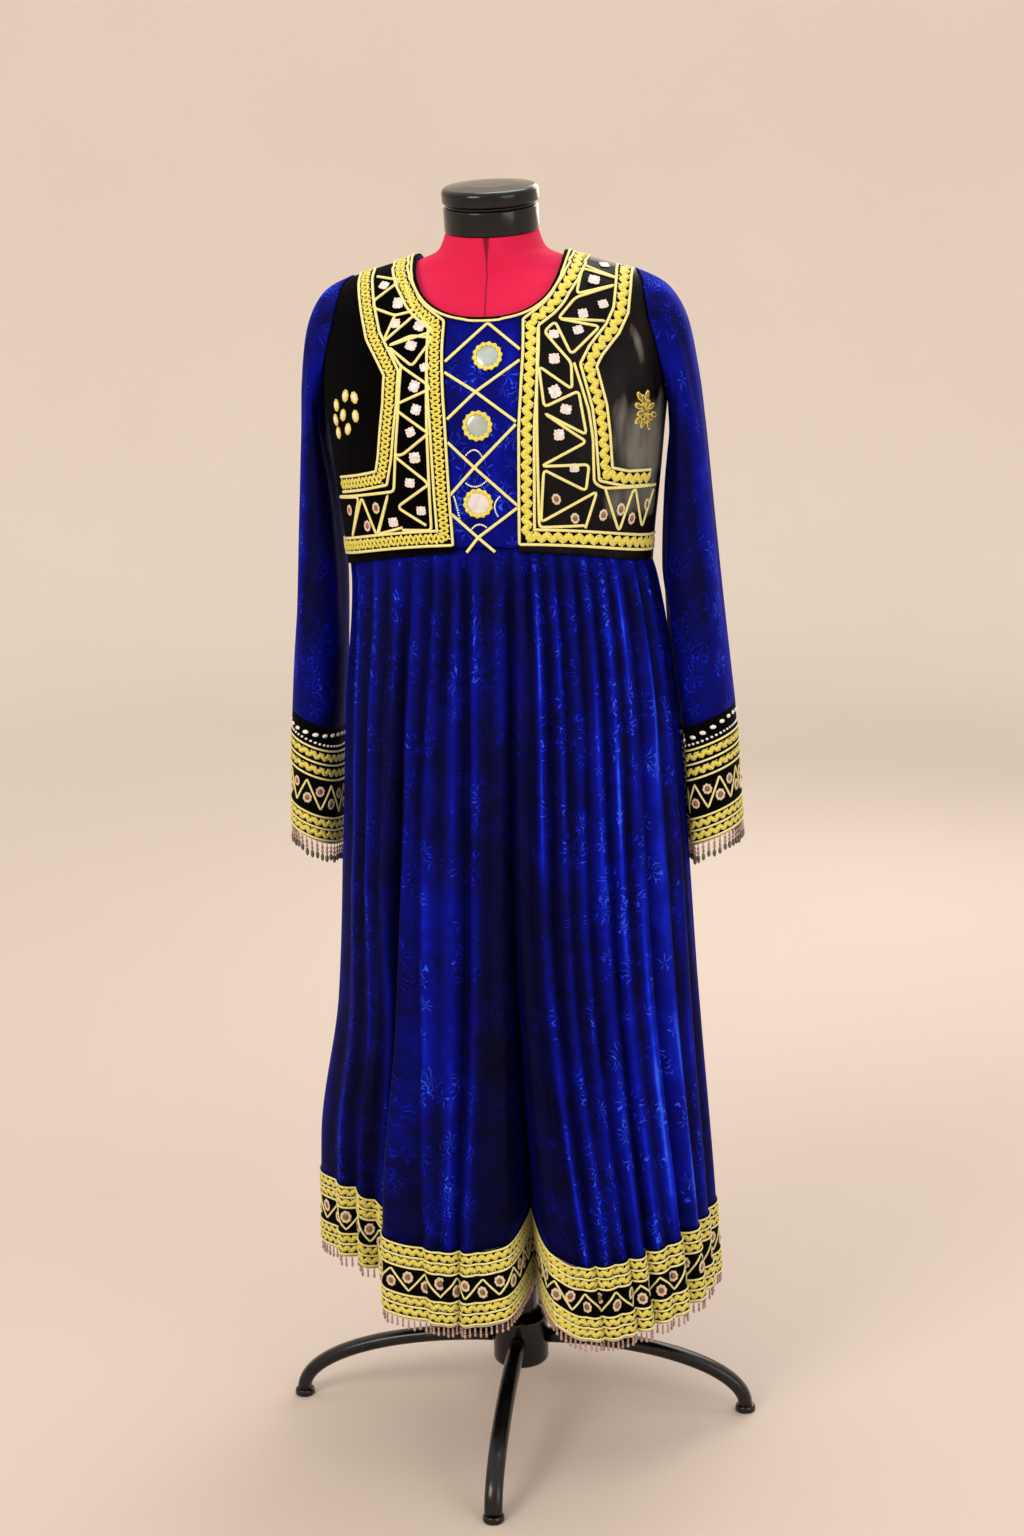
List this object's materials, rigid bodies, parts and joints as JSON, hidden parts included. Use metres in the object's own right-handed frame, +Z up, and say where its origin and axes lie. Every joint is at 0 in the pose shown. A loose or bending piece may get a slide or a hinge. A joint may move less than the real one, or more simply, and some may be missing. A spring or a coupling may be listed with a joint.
{
  "type": "afghan dress on a dress form",
  "caption": "Long gathered dress of blue embossed velvet with embroidered vest fronts, cuffs and hem band, worn by a limbless dress form on a pole stand.",
  "frame": {"origin": "on the floor under the middle of the pole", "axes": "+Z up, the dress faces -Y, +X is the wearer's left"},
  "size_m": [0.61, 0.61, 1.5617],
  "materials": {
    "velvet": "matt",
    "vest_velvet": "matt",
    "vest_satin": "satin",
    "edging": "matt",
    "gold_braid": "satin",
    "cream_cord": "matt",
    "mirror_glass": "polished",
    "band_cloth": "matt",
    "bead_fringe": "gloss",
    "form_jersey": "matt",
    "neck_plastic": "gloss",
    "stand_steel": "satin",
    "foot_plastic": "matt"
  },
  "bodies": {
    "root": {"form_torso": "form_jersey", "neck_ring": "neck_plastic", "neck_dial": "neck_plastic", "stand_hub": "stand_steel", "stand_pole": "stand_steel", "bodice_front": "velvet", "bodice_back": "velvet", "vest_front_right": "vest_velvet", "vest_front_left": "vest_satin", "neck_binding": "edging", "placket_lacing": "cream_cord", "skirt_front": "velvet", "skirt_back": "velvet", "hem_band": "band_cloth", "hem_fringe": "bead_fringe", "stand_leg_1": "stand_steel", "stand_foot_1": "foot_plastic", "stand_leg_2": "stand_steel", "stand_foot_2": "foot_plastic", "stand_leg_3": "stand_steel", "stand_foot_3": "foot_plastic", "stand_leg_4": "stand_steel", "stand_foot_4": "foot_plastic", "placket_mirror_1": "mirror_glass", "placket_mirror_2": "mirror_glass", "placket_mirror_3": "mirror_glass", "inner_braid_right": "gold_braid", "outer_braid_right": "gold_braid", "zigzag_cord_right": "cream_cord", "sleeve_right": "velvet", "cuff_right": "band_cloth", "cuff_fringe_right": "bead_fringe", "inner_braid_left": "gold_braid", "outer_braid_left": "gold_braid", "zigzag_cord_left": "cream_cord", "sleeve_left": "velvet", "cuff_left": "band_cloth", "cuff_fringe_left": "bead_fringe"}
  },
  "joints": []
}
